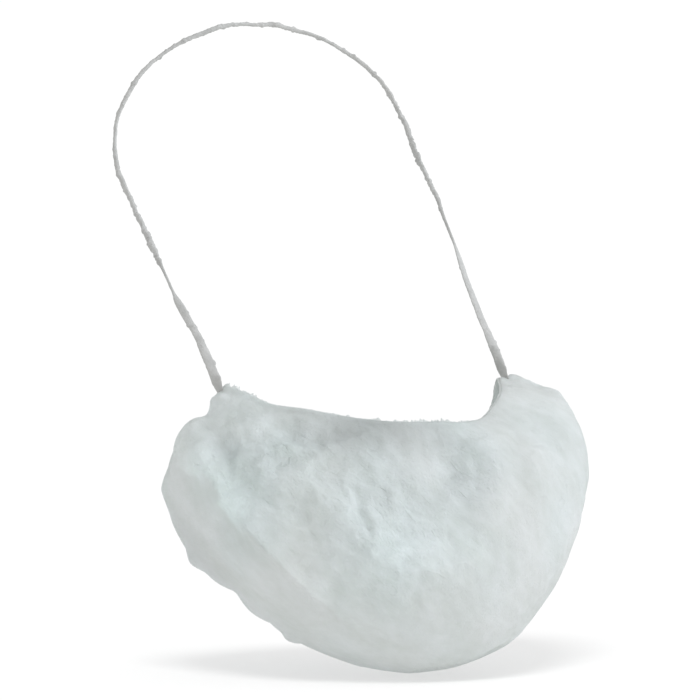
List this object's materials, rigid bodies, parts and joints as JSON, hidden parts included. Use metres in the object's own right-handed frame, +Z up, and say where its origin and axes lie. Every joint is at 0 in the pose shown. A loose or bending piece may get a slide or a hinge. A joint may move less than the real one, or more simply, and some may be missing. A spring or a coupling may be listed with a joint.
{
  "type": "disposable beard cover",
  "caption": "Thin nonwoven pouch gathered into an elastic hem, with an elastic loop that goes over the head and holds the pouch round the chin and jaw.",
  "frame": {"origin": "under the top of the head loop, where it rests on the crown of the head", "axes": "+Z up, -Y towards the chin side, +Y towards the throat side, +X towards the wearer's left"},
  "size_m": [0.2029, 0.2013, 0.2844],
  "materials": {
    "nonwoven": "thin translucent white spunbond nonwoven, matt with a slight sheen",
    "gathered_hem": "the same nonwoven folded over and gathered, matt",
    "elastic_loop": "ruched grey-white covered elastic, matt and slightly fuzzy"
  },
  "bodies": {
    "root": {"pouch": "nonwoven", "rim_elastic": "gathered_hem", "head_loop": "elastic_loop"}
  },
  "joints": []
}
